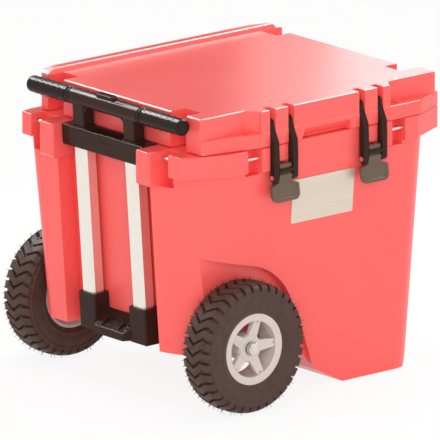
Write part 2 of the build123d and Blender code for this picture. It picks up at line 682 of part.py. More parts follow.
def build_frame():
    bar = rod_y(0, -BAR_MID_HALF, BAR_MID_HALF, BAR_S, BAR_R)
    core = rod_y(0, -BAR_HALF + 6, BAR_HALF - 6, BAR_S, 10)
    frame = bar + core
    for side in (-1, 1):
        y = side * TUBE_PITCH / 2
        leg = block(-LEG_X / 2, LEG_X / 2, y - LEG_Y / 2, y + LEG_Y / 2, BRACKET_TOP + 2, BAR_S)
        leg = fillet(leg.edges().filter_by(Axis.Z), 2.5)
        frame = frame + leg
    low = BAR_S - BAR_R + 3
    gusset = [(TUBE_PITCH / 2 - LEG_Y / 2 - 9, low), (TUBE_PITCH / 2 - LEG_Y / 2 + 1, low - 11)]
    gusset += [(TUBE_PITCH / 2 - LEG_Y / 2 + 1, low)]
    for side in (-1, 1):
        frame = frame + prism_yz([(side * y, z) for y, z in gusset], -9, 9)
    for side in (-1, 1):
        y = side * TUBE_PITCH / 2
        frame = frame - pocket(y, STAGE_Y + 2 * FIT, STAGE_X + 2 * FIT, BRACKET_TOP, BAR_S - 16, 3.05)
        frame = frame - rod_z(0, y, BAR_S - 17, BAR_S, 4)
    frame = frame - block(-4.3, 4.3, -TUBE_PITCH / 2 - 4, TUBE_PITCH / 2 + 4, BAR_S - 9, BAR_S + 3.4)
    slot = extrude(Pos(0, 0, BAR_S + 3) * SlotOverall(48.8, 14.8, rotation=90), 20, dir=(0, 0, 1))
    return along_handle(frame - slot)


def build_grip(side):
    y0, y1 = span(side * (BAR_MID_HALF + 0.6), side * BAR_HALF)
    grip = rod_y(0, y0, y1, BAR_S, BAR_R)
    tip = grip.faces().sort_by(Axis.Y)[-1 if side > 0 else 0]
    grip = fillet(tip.edges(), 3.5)
    return along_handle(grip - rod_y(0, side * 60, side * (BAR_HALF - 6), BAR_S, 10 + FIT))


def build_stage(side):
    return along_handle(tube(side * TUBE_PITCH / 2, STAGE_Y, STAGE_X, STAGE_WALL, 136, BAR_S - 16.2, 3))


def build_fixed_tube(side):
    low, top = BELLY_Z + 17, BRACKET_LOW + 19.8
    return along_handle(tube(side * TUBE_PITCH / 2, TUBE_Y, TUBE_X, TUBE_WALL, low, top, 4))


def build_shoe(side):
    y = side * TUBE_PITCH / 2
    wide, deep = TUBE_Y - 2 * TUBE_WALL - 0.16, TUBE_X - 2 * TUBE_WALL - 0.16
    shoe = pocket(y, wide, deep, 126, 156, 2.95)
    shoe = shoe - pocket(y, STAGE_Y + 2 * FIT, STAGE_X + 2 * FIT, 135.9, 160, 3.05)
    return along_handle(shoe - rod_z(0, y, 120, 140, 3))


def build_button():
    low, top = BAR_S + 6.6, BAR_S + BAR_R + 4.5
    cap = extrude(Pos(0, 0, low) * SlotOverall(48.2, 14.2, rotation=90), top - low, dir=(0, 0, 1))
    cap = fillet(cap.faces().sort_by(Axis.Z)[-1].edges(), 1.5)
    return along_handle(cap + block(-3, 3, -18, 18, BAR_S + 1.6, BAR_S + 7))


def build_release():
    bar = block(-3.6, 3.6, -TUBE_PITCH / 2 - 3, TUBE_PITCH / 2 + 3, BAR_S - 4.5, BAR_S + 1.5)
    for side in (-1, 1):
        bar = bar + rod_z(0, side * TUBE_PITCH / 2, 160, BAR_S - 4, 2)
    return along_handle(bar)


guide = build_guide()
base = build_base()
guide_screws = [build_screw(s, y, -13.4) for s, y in screw_spots()[:2]]
base_screws = [build_screw(s, y, 3) for s, y in screw_spots()[2:]]
frame = build_frame()
grips = [build_grip(1), build_grip(-1)]
stages = [build_stage(1), build_stage(-1)]
fixed_tubes = [build_fixed_tube(1), build_fixed_tube(-1)]
shoes = [build_shoe(1), build_shoe(-1)]
button = build_button()
release = build_release()


# Wheels: lugged tyre on a five-spoke rim with two ball bearings on a fixed axle. Built round +Y with the
# outer face at -Y, then set in place.
def tyre_section():
    half = TYRE_W / 2
    r = TYRE_D / 2
    pts = [(RIM_R - 3, half - 13), (RIM_R + 0.1, half - 9), (RIM_R + 0.1, half - 5)]
    pts += [(RIM_R + 5, half - 3.5)]
    pts += [(RIM_R + 12, half - 1), (RIM_R + 24, half)]
    pts += [(RIM_R + 36, half - 1.5), (RIM_R + 40, half - 2.5), (RIM_R + 41, half - 4.5)]
    pts += [(r - TREAD_DEPTH - 3, half - 9)]
    pts += [(r - TREAD_DEPTH, half - 18), (r - TREAD_DEPTH + 0.4, 0)]
    ring = pts + [(x, -y) for x, y in reversed(pts[:-1])]
    return ring


def tyre_hollow():
    half = TYRE_W / 2 - 8
    r = TYRE_D / 2 - TREAD_DEPTH - 10
    pts = [(RIM_R + 4, half - 8), (RIM_R + 14, half), (r - 8, half - 3), (r, half - 12)]
    return pts + [(x, -y) for x, y in reversed(pts)]


def ring_of(points):
    face = make_face(Polyline(*[(x, y, 0) for x, y in points], close=True))
    return revolve(face, Axis.Y)


def tread_shell():
    half = TYRE_W / 2
    r = TYRE_D / 2
    pts = [(r - TREAD_DEPTH - 5, -half + 5), (r - TREAD_DEPTH + 0.5, -half + 4)]
    pts += [(r - 2.2, -half + 10), (r, -9), (r, 9)]
    pts += [(r - 2.2, half - 10), (r - TREAD_DEPTH + 0.5, half - 4), (r - TREAD_DEPTH - 5, half - 5)]
    return ring_of(pts)


def tread_lug():
    pitch = math.pi * TYRE_D / LUG_COUNT
    half = TYRE_W / 2
    w = pitch * TREAD_FILL / 2
    pts = [(-half, 2 - w), (-half + 14, 5 - w), (0, -7 - w), (half - 14, 5 - w), (half, 2 - w)]
    pts += [(half, 2 + w), (half - 14, 5 + w), (0, -7 + w), (-half + 14, 5 + w), (-half, 2 + w)]
    face = make_face(Polyline(*[(t, y, TYRE_D / 2 - 22) for y, t in pts], close=True))
    return extrude(face, 30, dir=(0, 0, 1)) & tread_shell()


def build_tyre():
    tyre = ring_of(tyre_section()) - ring_of(tyre_hollow())
    lug = tread_lug()
    lugs = [Rot(0, 360.0 * k / LUG_COUNT, 0) * lug for k in range(LUG_COUNT)]
    return tyre.fuse(*lugs)


def rim_section():
    half = TYRE_W / 2 - 5
    pts = [(RIM_R, -half), (RIM_R, -half + 4), (RIM_R - 4, -half + 7), (RIM_R - 8, -half + 13)]
    pts += [(RIM_R - 8, half - 13)]
    pts += [(RIM_R - 4, half - 7), (RIM_R, half - 4), (RIM_R, half), (RIM_R - 5, half)]
    pts += [(RIM_R - 12, half - 10)]
    pts += [(RIM_R - 12, -half + 9), (RIM_R - 13, -half + 1.5), (RIM_R - 10, -half)]
    return pts


def build_rim():
    half = TYRE_W / 2 - 5
    hub = [(BEARING_D / 2 - 4, -HUB_HALF), (BEARING_D / 2 + 5, -HUB_HALF)]
    hub += [(BEARING_D / 2 + 7, -HUB_HALF + 4)]
    hub += [(BEARING_D / 2 + 7, HUB_HALF - 4), (BEARING_D / 2 + 5, HUB_HALF), (BEARING_D / 2 - 4, HUB_HALF)]
    rim = ring_of(rim_section()) + ring_of(hub)
    reach = RIM_R - 9
    spoke = [(-10, BEARING_D / 2 + 2), (-6.5, reach), (6.5, reach), (10, BEARING_D / 2 + 2)]
    face = make_face(Polyline(*[(x, -half + 4, z) for x, z in spoke], close=True))
    arm = extrude(face, 12, dir=(0, 1, 0))
    trim = [(BEARING_D / 2, -HUB_HALF + 1), (BEARING_D / 2 + 6, -HUB_HALF + 1), (reach + 1, -half + 4)]
    trim += [(reach + 1, -half + 13), (BEARING_D / 2 + 6, -HUB_HALF + 13), (BEARING_D / 2, -HUB_HALF + 13)]
    arm = arm & ring_of(trim)
    arm = arm - rod_y(0, -half - 1, half, reach - 6, 1.6)
    arms = [Rot(0, 360.0 * k / SPOKE_COUNT + SPOKE_TURN, 0) * arm for k in range(SPOKE_COUNT)]
    rim = rim.fuse(*arms)
    for side in (-1, 1):
        y0, y1 = span(side * (HUB_HALF - BEARING_W), side * (HUB_HALF + 1))
        rim = rim - rod_y(0, y0, y1, 0, BEARING_D / 2 + FIT)
    return rim


def build_bearing(side):
    y0, y1 = span(side * (HUB_HALF - BEARING_W + 0.05), side * HUB_HALF)
    ring = rod_y(0, y0, y1, 0, BEARING_D / 2) - rod_y(0, y0 - 1, y1 + 1, 0, AXLE_D / 2 + 0.05)
    y2, y3 = span(side * (HUB_HALF - 0.8), side * (HUB_HALF + 1))
    return ring - (rod_y(0, y2, y3, 0, 14.2) - rod_y(0, y2 - 1, y3 + 1, 0, 10.6))


def set_wheel(part, side):
    turn = 0 if side < 0 else 180
    return Pos(AXLE_X, side * TRACK / 2, AXLE_Z) * Rot(0, 0, turn) * part


def build_axle():
    shaft = rod_y(AXLE_X, -TRACK / 2 - HUB_HALF - 0.5, TRACK / 2 + HUB_HALF + 0.5, AXLE_Z, AXLE_D / 2)
    ends = rod_y(AXLE_X, -TRACK / 2 - HUB_HALF - 12, TRACK / 2 + HUB_HALF + 12, AXLE_Z, AXLE_D / 2 - 1.5)
    return shaft + chamfer(ends.edges(), 1.0)


def build_nut(side):
    y0 = TRACK / 2 + HUB_HALF + 2.6
    nut = extrude(Plane.XZ * RegularPolygon(11.0, 6), 8.0)
    nut = chamfer(nut.edges().filter_by(Axis.Y, reverse=True).group_by(Axis.Y)[0], 1.0)
    nut = Pos(0, -y0, 0) * nut
    nut = nut - rod_y(0, -300, 300, 0, AXLE_D / 2 - 1.5 + FIT)
    return Pos(AXLE_X, 0, AXLE_Z) * Rot(0, 0, 0 if side < 0 else 180) * nut


def build_washer(side):
    y0, y1 = span(side * (TRACK / 2 + HUB_HALF + 0.6), side * (TRACK / 2 + HUB_HALF + 2.5))
    return rod_y(AXLE_X, y0, y1, AXLE_Z, 10.2) - rod_y(AXLE_X, y0 - 1, y1 + 1, AXLE_Z, AXLE_D / 2 - 1.5 + FIT)


def build_spacer(side):
    y0, y1 = span(side * (WELL_Y + 0.2), side * (TRACK / 2 - HUB_HALF - 0.4))
    return rod_y(AXLE_X, y0, y1, AXLE_Z, 10.5) - rod_y(AXLE_X, y0 - 1, y1 + 1, AXLE_Z, AXLE_D / 2 + FIT)


def build_clamp(side):
    y0, y1 = side * CLAMP_Y - CLAMP_W / 2, side * CLAMP_Y + CLAMP_W / 2
    plate = block(AXLE_X - 34, AXLE_X + 34, y0, y1, BELLY_Z - 4.2, BELLY_Z - 0.1)
    rib = block(AXLE_X - AXLE_D / 2 + 0.3, AXLE_X + AXLE_D / 2 - 0.3, y0, y1, BELLY_Z - 1, AXLE_Z)
    clamp = plate + rib - rod_y(AXLE_X, -300, 300, AXLE_Z, AXLE_D / 2 + FIT)
    for dx in (-22, 22):
        clamp = clamp - rod_z(AXLE_X + dx, side * CLAMP_Y, 0, 200, 2.0 + FIT)
    return clamp


def build_clamp_screw(x, y):
    return rod_z(x, y, BELLY_Z - 4.3, BELLY_Z + 13, 2.0) + rod_z(x, y, BELLY_Z - 7.2, BELLY_Z - 4.3, 4.2)


tyre = build_tyre()
rim = build_rim()
axle = build_axle()
axle_nuts = [build_nut(-1), build_nut(1)]
axle_washers = [build_washer(-1), build_washer(1)]
spacers = [build_spacer(-1), build_spacer(1)]
clamps = [build_clamp(-1), build_clamp(1)]
clamp_screws = [build_clamp_screw(x, y) for x, y in clamp_spots()]


# Drain in the far end: a bush through the wall, a seal and a turning plug
def build_drain_bush():
    wall = far_wall(DRAIN_Z)
    bush = rod_x(wall - SIDE_WALL - 4, wall + 2.5, 0, DRAIN_Z, DRAIN_R)
    bush = bush + rod_x(wall + 0.6, wall + 4, 0, DRAIN_Z, DRAIN_R + 6)
    return bush - rod_x(wall - SIDE_WALL - 20, wall + 20, 0, DRAIN_Z, DRAIN_BORE_R)


def build_drain_plug():
    wall = far_wall(DRAIN_Z)
    plug = rod_x(wall - 16, wall + 7, 0, DRAIN_Z, DRAIN_BORE_R - 0.3)
    plug = plug + rod_x(wall + 6.2, wall + 12, 0, DRAIN_Z, DRAIN_R + 3)
    return plug + block(wall + 11, wall + 20, -DRAIN_R, DRAIN_R, DRAIN_Z - 3.5, DRAIN_Z + 3.5)


def build_drain_seal():
    wall = far_wall(DRAIN_Z)
    ring = rod_x(wall + 4.1, wall + 6.1, 0, DRAIN_Z, DRAIN_R)
    return ring - rod_x(wall, wall + 9, 0, DRAIN_Z, DRAIN_BORE_R + 0.1)


drain_bush = build_drain_bush()
drain_plug = build_drain_plug()
drain_seal = build_drain_seal()


# Bare name plate on the front wall, following its taper
def build_plate():
    lean = math.degrees(math.atan((FRONT_LOW - FRONT_TOP) / RIM_Z))
    plate = Box(PLATE_W, 1.6, PLATE_H)
    plate = fillet(plate.edges().filter_by(Axis.Y), 3)
    return Pos(LATCH_MID, front_wall(PLATE_Z) - 0.95, PLATE_Z) * Rot(lean, 0, 0) * plate


name_plate = build_plate()


def save(name, part):
    solids = []
    for item in part if isinstance(part, list) else [part]:
        solids += item.solids()
    export_step(Compound(children=solids) if len(solids) > 1 else solids[0], f"parts/{name}.step")


save("tub", tub)
save("corner_bands", bands)
save("handle_lugs", lugs)
save("latch_keepers", keepers)
save("name_plate", name_plate)
save("end_rods", end_rods)
save("lock_rods", lock_rods)
save("hinge_rod", hinge_rod)
save("lid", lid)
save("lid_seal", lid_seal)
save("latch_pins", lid_pins)
for index, word in enumerate(("near", "far")):
    save(f"latch_yoke_{word}", yokes[index])
    save(f"lever_pin_{word}", lever_pins[index])
    save(f"latch_lever_{word}", levers[index])
save("tube_guide", guide)
save("guide_screws", guide_screws)
save("step_base", base)
save("base_screws", base_screws)
save("handle_frame", frame)
for index, word in enumerate(("back", "front")):
    save(f"grip_{word}", grips[index])
    save(f"slide_tube_{word}", stages[index])
    save(f"fixed_tube_{word}", fixed_tubes[index])
    save(f"slide_shoe_{word}", shoes[index])
save("release_button", button)
save("release_rods", release)
for side, word in ((1, "back"), (-1, "front")):
    save(f"tyre_{word}", Pos(AXLE_X, side * TRACK / 2, AXLE_Z) * tyre)
    save(f"rim_{word}", set_wheel(rim, side))
    save(f"bearings_{word}", [set_wheel(build_bearing(-1), side), set_wheel(build_bearing(1), side)])
save("axle", axle)
save("axle_nuts", axle_nuts)
save("axle_washers", axle_washers)
save("axle_spacers", spacers)
save("axle_clamps", clamps)
save("clamp_screws", clamp_screws)
save("drain_bush", drain_bush)
save("drain_plug", drain_plug)
save("drain_seal", drain_seal)
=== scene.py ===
import math

import bmesh
import bpy
from mathutils import Matrix, Vector


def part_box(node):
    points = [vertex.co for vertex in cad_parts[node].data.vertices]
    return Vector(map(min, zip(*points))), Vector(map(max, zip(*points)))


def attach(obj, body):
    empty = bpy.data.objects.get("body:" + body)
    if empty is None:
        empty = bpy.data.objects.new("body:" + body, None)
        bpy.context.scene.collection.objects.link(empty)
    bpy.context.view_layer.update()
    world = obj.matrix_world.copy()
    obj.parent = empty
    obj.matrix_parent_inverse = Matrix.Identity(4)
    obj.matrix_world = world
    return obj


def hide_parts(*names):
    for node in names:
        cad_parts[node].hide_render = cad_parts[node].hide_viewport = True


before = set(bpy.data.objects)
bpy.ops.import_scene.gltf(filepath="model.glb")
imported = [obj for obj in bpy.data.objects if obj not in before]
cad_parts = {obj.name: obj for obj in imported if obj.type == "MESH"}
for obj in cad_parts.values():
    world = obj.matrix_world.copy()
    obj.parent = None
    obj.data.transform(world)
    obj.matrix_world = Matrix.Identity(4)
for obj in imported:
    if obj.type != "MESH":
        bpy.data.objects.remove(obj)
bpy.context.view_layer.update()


# Tub: the insulated body, rotomoulded in one piece from coral polyethylene, with its corner bands,
# handle lugs and latch keepers.
# Its skin has the faint orange peel of the mould, a soft gloss and slightly cloudy colour.
def skin_group():
    group = bpy.data.node_groups.new("moulded skin", "ShaderNodeTree")
    group.interface.new_socket("Peel Scale", in_out="INPUT", socket_type="NodeSocketFloat")
    group.interface.new_socket("Tone Scale", in_out="INPUT", socket_type="NodeSocketFloat")
    group.interface.new_socket("Peel", in_out="OUTPUT", socket_type="NodeSocketFloat")
    group.interface.new_socket("Tone", in_out="OUTPUT", socket_type="NodeSocketFloat")
    nodes, links = group.nodes, group.links
    entry = nodes.new("NodeGroupInput")
    leave = nodes.new("NodeGroupOutput")
    place = nodes.new("ShaderNodeTexCoord")
    for socket, detail in (("Peel", 2.0), ("Tone", 4.0)):
        noise = nodes.new("ShaderNodeTexNoise")
        noise.inputs["Detail"].default_value = detail
        links.new(place.outputs["Object"], noise.inputs["Vector"])
        links.new(entry.outputs[socket + " Scale"], noise.inputs["Scale"])
        links.new(noise.outputs["Fac"], leave.inputs[socket])
    return group


moulded_skin = skin_group()
BUMP_STRENGTH, SKIN_SPREAD = 0.5, 0.05


def finish_nodes(material, surface, effect, light, dark, roughness, spread, depth):
    nodes, links = material.node_tree.nodes, material.node_tree.links
    tone = nodes.new("ShaderNodeMix")
    tone.data_type = "RGBA"
    tone.inputs["A"].default_value = (*light, 1.0)
    tone.inputs["B"].default_value = (*dark, 1.0)
    links.new(effect.outputs["Tone"], tone.inputs["Factor"])
    links.new(tone.outputs["Result"], surface.inputs["Base Color"])
    gloss = nodes.new("ShaderNodeMapRange")
    gloss.inputs["To Min"].default_value = roughness - spread
    gloss.inputs["To Max"].default_value = roughness + spread
    links.new(effect.outputs["Tone"], gloss.inputs["Value"])
    links.new(gloss.outputs["Result"], surface.inputs["Roughness"])
    bump = nodes.new("ShaderNodeBump")
    bump.inputs["Distance"].default_value = depth
    bump.inputs["Strength"].default_value = BUMP_STRENGTH
    links.new(effect.outputs["Peel"], bump.inputs["Height"])
    links.new(bump.outputs["Normal"], surface.inputs["Normal"])


def moulded(name, light, dark, roughness, peel_scale, peel_depth, tone_scale=9.0, specular=0.5):
    material = bpy.data.materials.new(name)
    material.use_nodes = True
    surface = material.node_tree.nodes["Principled BSDF"]
    surface.inputs["Specular IOR Level"].default_value = specular
    skin = material.node_tree.nodes.new("ShaderNodeGroup")
    skin.node_tree = moulded_skin
    skin.inputs["Peel Scale"].default_value = peel_scale
    skin.inputs["Tone Scale"].default_value = tone_scale
    finish_nodes(material, surface, skin, light, dark, roughness, SKIN_SPREAD, peel_depth)
    return material


def dress(material, *names):
    for name in names:
        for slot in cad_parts[name].material_slots:
            slot.material = material


coral = moulded("coral polyethylene", (0.98, 0.122, 0.112), (0.94, 0.108, 0.098), 0.30, 700.0, 0.00005)
dress(coral, "tub", "corner_bands", "handle_lugs", "latch_keepers")

# Drain: a black bush through the far wall with a quarter-turn plug and a rubber seal.
# The bush is a satin moulding, the seal a soft black ring.
satin_black = moulded(
    "satin black", (0.040, 0.0175, 0.0130), (0.032, 0.0135, 0.010), 0.22, 1500.0, 0.00001, specular=0.11)
soft_rubber = moulded(
    "soft rubber", (0.026, 0.019, 0.015), (0.018, 0.014, 0.012), 0.58, 900.0, 0.00004, specular=0.3)
dress(satin_black, "drain_bush", "drain_plug")
dress(soft_rubber, "drain_seal")


# Axle: a drawn stainless bar held under the belly by two black clamps, with nuts, washers and spacers.
# Steel parts carry the fine lengthwise lines of drawing.
def grain_group():
    group = bpy.data.node_groups.new("drawn grain", "ShaderNodeTree")
    group.interface.new_socket("Stretch", in_out="INPUT", socket_type="NodeSocketVector")
    group.interface.new_socket("Peel", in_out="OUTPUT", socket_type="NodeSocketFloat")
    group.interface.new_socket("Tone", in_out="OUTPUT", socket_type="NodeSocketFloat")
    nodes, links = group.nodes, group.links
    entry = nodes.new("NodeGroupInput")
    leave = nodes.new("NodeGroupOutput")
    place = nodes.new("ShaderNodeTexCoord")
    stretch = nodes.new("ShaderNodeVectorMath")
    stretch.operation = "MULTIPLY"
    links.new(place.outputs["Object"], stretch.inputs[0])
    links.new(entry.outputs["Stretch"], stretch.inputs[1])
    for socket, scale in (("Peel", 1.0), ("Tone", 0.25)):
        noise = nodes.new("ShaderNodeTexNoise")
        noise.inputs["Scale"].default_value = scale
        noise.inputs["Detail"].default_value = 3.0
        links.new(stretch.outputs[0], noise.inputs["Vector"])
        links.new(noise.outputs["Fac"], leave.inputs[socket])
    return group


drawn_grain = grain_group()
GRAIN_SPREAD, GRAIN_DEPTH = 0.06, 0.000008


def drawn(name, light, dark, roughness, stretch, metallic):
    material = bpy.data.materials.new(name)
    material.use_nodes = True
    surface = material.node_tree.nodes["Principled BSDF"]
    surface.inputs["Metallic"].default_value = metallic
    grain = material.node_tree.nodes.new("ShaderNodeGroup")
    grain.node_tree = drawn_grain
    grain.inputs["Stretch"].default_value = stretch
    finish_nodes(material, surface, grain, light, dark, roughness, GRAIN_SPREAD, GRAIN_DEPTH)
    return material


steel = drawn("stainless bar", (0.80, 0.75, 0.70), (0.68, 0.63, 0.58), 0.32, (900.0, 60.0, 900.0), 1.0)
dress(satin_black, "axle_clamps")
dress(steel, "axle", "axle_nuts", "axle_washers", "axle_spacers", "clamp_screws")

# Wheels: lugged tyres of grey-brown rubber on light grey five-spoke rims with shielded bearings.
# The rims are injection moulded, the tyres vulcanised and still carry the vent hairs of their mould.
tyre_rubber = moulded(
    "tyre rubber", (0.100, 0.052, 0.040), (0.046, 0.024, 0.018), 0.50, 320.0, 0.0002, 70.0, 0.25)
rim_grey = moulded("rim grey", (0.66, 0.575, 0.545), (0.60, 0.52, 0.495), 0.38, 900.0, 0.00003, 14.0, 0.4)
dress(rim_grey, "rim_back", "rim_front")
bearing_steel = drawn(
    "bearing steel", (0.74, 0.69, 0.64), (0.64, 0.59, 0.55), 0.42, (700.0, 700.0, 700.0), 1.0)
dress(bearing_steel, "bearings_back", "bearings_front")
TURN_STEPS, JOIN = 96, 0.00001


def piece(name, mesh, material, body):
    data = bpy.data.meshes.new(name)
    mesh.to_mesh(data)
    mesh.free()
    data.materials.append(material)
    made = bpy.data.objects.new(name, data)
    bpy.context.scene.collection.objects.link(made)
    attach(made, body)
    return made


def turned(mesh, centre, ring, closed):
    line = [mesh.verts.new((centre.x, centre.y + along, centre.z + away)) for along, away in ring]
    runs = [mesh.edges.new(pair) for pair in zip(line, line[1:])]
    if closed:
        runs.append(mesh.edges.new((line[-1], line[0])))
    bmesh.ops.spin(
        mesh, geom=line + runs, cent=centre, axis=(0, 1, 0), dvec=(0, 0, 0),
        angle=math.tau, steps=TURN_STEPS, use_merge=True)


def smoothed(mesh):
    bmesh.ops.remove_doubles(mesh, verts=mesh.verts, dist=JOIN)
    bmesh.ops.recalc_face_normals(mesh, faces=mesh.faces)
    for face in mesh.faces:
        face.smooth = True


SHIELD_LIP = ((0.01822, 0.0108), (0.01882, 0.0108), (0.01890, 0.0124), (0.01882, 0.0140), (0.01822, 0.0140))
SIDEWALL = (
    (0.0205, 0.0600), (0.0240, 0.0622), (0.0280, 0.0622), (0.0293, 0.0645), (0.0302, 0.0680),
    (0.0316, 0.0700), (0.0321, 0.0715), (0.0313, 0.0735), (0.0321, 0.0775), (0.0328, 0.0820),
    (0.0330, 0.0860), (0.0327, 0.0920), (0.0322, 0.0952), (0.0332, 0.0966), (0.0333, 0.0982),
    (0.0318, 0.0994), (0.0302, 0.1015), (0.0270, 0.1035), (0.0200, 0.1058), (0.0100, 0.1072),
    (0.0, 0.1075))
LUGS, LUG_FILL, LUG_DEEP, LUG_REACH, LUG_EASE, LUG_STEPS = 36, 0.70, 0.0085, 0.0318, 0.0008, 14
V_TIP, V_RISE, V_ARM, HOOK_BACK, HOOK_RUN = 0.0075, 0.0130, 0.019, 0.0030, 0.0128
CROWN_DROP, CROWN_ARM, SHOULDER_DROP, SHOULDER_RUN = 0.0022, 0.023, 0.0052, 0.0088
for side in ("back", "front"):
    wheel_low, wheel_high = (Vector(corner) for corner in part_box("tyre_" + side))
    hub = (wheel_low + wheel_high) / 2
    crown = (wheel_high.z - wheel_low.z) / 2
    shields = bmesh.new()
    for face_side in (-1.0, 1.0):
        turned(shields, hub, [(face_side * along, away) for along, away in SHIELD_LIP], True)
    smoothed(shields)
    piece("bearing_shields_" + side, shields, bearing_steel, "wheel_" + side)

    tyre = bmesh.new()
    turned(tyre, hub, SIDEWALL + tuple((-along, away) for along, away in reversed(SIDEWALL[:-1])), True)
    smoothed(tyre)
    lug = bmesh.new()
    bmesh.ops.create_grid(lug, x_segments=1, y_segments=LUG_STEPS, size=1.0)
    half_width = math.pi * crown / LUGS * LUG_FILL
    for vert in lug.verts:
        across_tread = vert.co.y * LUG_REACH
        arm = abs(across_tread)
        chevron = -V_TIP + V_RISE * min(arm / V_ARM, 1.0) - HOOK_BACK * max(0.0, arm - V_ARM) / HOOK_RUN
        vert.co = (chevron + vert.co.x * half_width, across_tread, 0.0)
    raised = bmesh.ops.extrude_face_region(lug, geom=lug.faces[:])
    top = [part for part in raised["geom"] if isinstance(part, bmesh.types.BMVert)]
    bmesh.ops.translate(lug, vec=(0, 0, LUG_DEEP), verts=top)
    bmesh.ops.recalc_face_normals(lug, faces=lug.faces)
    crest = set(top)
    edges = [
        edge for edge in lug.edges
        if crest.issuperset(edge.verts) and len({round(face.normal.z, 1) for face in edge.link_faces}) == 2]
    bmesh.ops.bevel(
        lug, geom=edges, offset=LUG_EASE, offset_type="OFFSET", segments=2, profile=0.5,
        affect="EDGES", material=-1)
    for vert in lug.verts:
        arm = abs(vert.co.y)
        shoulder = max(0.0, (arm - CROWN_ARM) / SHOULDER_RUN)
        sink = CROWN_DROP * min(arm / CROWN_ARM, 1.0) ** 3 + SHOULDER_DROP * shoulder ** 1.5
        turn, away = vert.co.x / crown, crown - sink - LUG_DEEP + vert.co.z
        vert.co = (away * math.sin(turn), vert.co.y, away * math.cos(turn))
    lug_mesh = bpy.data.meshes.new("lug")
    lug.to_mesh(lug_mesh)
    lug.free()
    for count in range(LUGS):
        ring_before = len(tyre.verts)
        tyre.from_mesh(lug_mesh)
        tyre.verts.ensure_lookup_table()
        bmesh.ops.transform(
            tyre, matrix=Matrix.Translation(hub) @ Matrix.Rotation(math.tau * count / LUGS, 4, "Y"),
            verts=tyre.verts[ring_before:])
    bpy.data.meshes.remove(lug_mesh)
    made = piece("tyre_lugged_" + side, tyre, tyre_rubber, "wheel_" + side)
    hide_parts("tyre_" + side)

HAIR_STEP, HAIR_ROOT, HAIR_OUT, HAIR_R = 3.0, 0.0065, 0.0060, 0.00075
HAIR_LANES = ((-0.026, 0.020), (-0.008, 0.027), (-0.022, 0.008), (0.0, 0.024), (-0.027, 0.014))
FLOOR_CLEAR, HAIR_FAN, HAIR_DROP, HAIR_ARM = 13.0, 40.0, 0.004, 0.025
HAIR_LEAN, LEAN_STEP, LEAN_LANE, HAIR_TIP = 14.0, 2.4, 90.0, 0.5
for side in ("back", "front"):
    tyre_low, tyre_high = (Vector(corner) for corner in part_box("tyre_" + side))
    hub = (tyre_low + tyre_high) / 2
    tread = (tyre_high.z - tyre_low.z) / 2
    hairs = bmesh.new()
    for count in range(int(360 / HAIR_STEP)):
        turn = count * HAIR_STEP
        if abs(turn - 180.0) < FLOOR_CLEAR:
            continue
        for lane in HAIR_LANES[count % len(HAIR_LANES)]:
            drop = HAIR_DROP * (abs(lane) / HAIR_ARM) ** 2
            stand = Matrix.Translation((0.0, lane, tread - drop + (HAIR_OUT - HAIR_ROOT) / 2))
            tilt = HAIR_LEAN * math.sin(count * LEAN_STEP + lane * LEAN_LANE)
            lean = Matrix.Rotation(math.radians(tilt), 4, "X")
            around = Matrix.Rotation(math.radians(turn + lane * HAIR_FAN), 4, "Y")
            spot = Matrix.Translation(hub) @ around @ stand @ lean
            bmesh.ops.create_cone(
                hairs, cap_ends=True, segments=4, radius1=HAIR_R, radius2=HAIR_R * HAIR_TIP,
                depth=HAIR_ROOT + HAIR_OUT, matrix=spot)
    piece("vent_hairs_" + side, hairs, tyre_rubber, "wheel_" + side)

# Strap rods, lock rods and hinge rod: plain stainless bar pushed into the moulding.
# They stay bright, and the strap rods cross the slots of the tub's ends.
dress(steel, "end_rods", "lock_rods", "hinge_rod")

# Step tread: rows of low round studs moulded on the sloping tread of the step base, for a foot's grip.
# They keep clear of the two screw holes in the tread.
STUD_ROWS, STUD_REACH, ROW_PITCH, STUD_PITCH, STUD_R, STUD_FLAT = 5, 5, 0.0075, 0.0082, 0.0023, 0.62
SLOPE, TREAD_X, TREAD_Z, TREAD_EDGE = math.atan(0.5), -0.025, 0.1135, 0.0035
TREAD_HALF, TREAD_TAPER, TAPER_X = 0.040, 0.45, -0.016
SCREW_Y, SCREW_CLEAR, SCREW_X = 0.022, 0.007, -0.002
CHANNEL_X, CHANNEL_TILT = -0.230, math.radians(-4.01)
tread_place = Matrix.Translation((CHANNEL_X, 0.0, 0.0)) @ Matrix.Rotation(CHANNEL_TILT, 4, "Y")
studs = bmesh.new()
for row in range(STUD_ROWS):
    for count in range(-STUD_REACH, STUD_REACH + 1):
        along, beside = TREAD_EDGE + row * ROW_PITCH, (count + 0.5 * (row % 2)) * STUD_PITCH
        x, z = TREAD_X + along * math.cos(SLOPE), TREAD_Z + along * math.sin(SLOPE)
        off_tread = abs(beside) > TREAD_HALF - max(0.0, TAPER_X - x) * TREAD_TAPER
        if off_tread or (abs(abs(beside) - SCREW_Y) < SCREW_CLEAR and x < SCREW_X):
            continue
        stand = Matrix.Translation((x, beside, z)) @ Matrix.Rotation(-SLOPE, 4, "Y")
        bmesh.ops.create_uvsphere(
            studs, u_segments=8, v_segments=6, radius=STUD_R,
            matrix=tread_place @ stand @ Matrix.Diagonal((1.0, 1.0, STUD_FLAT, 1.0)))
for face in studs.faces:
    face.smooth = True
piece("step_studs", studs, satin_black, "tub")


# Pull handle, fixed part: a black guide and step base screwed into the channel, satin alloy tubes between them.
# The tubes are drawn and anodised, the black parts moulded with slightly rounded edges.
EDGE_WELD, EDGE_ANGLE, FLAT_WEIGHT, HANDLE_EASE = 0.00002, math.radians(40.0), 50, 0.0008


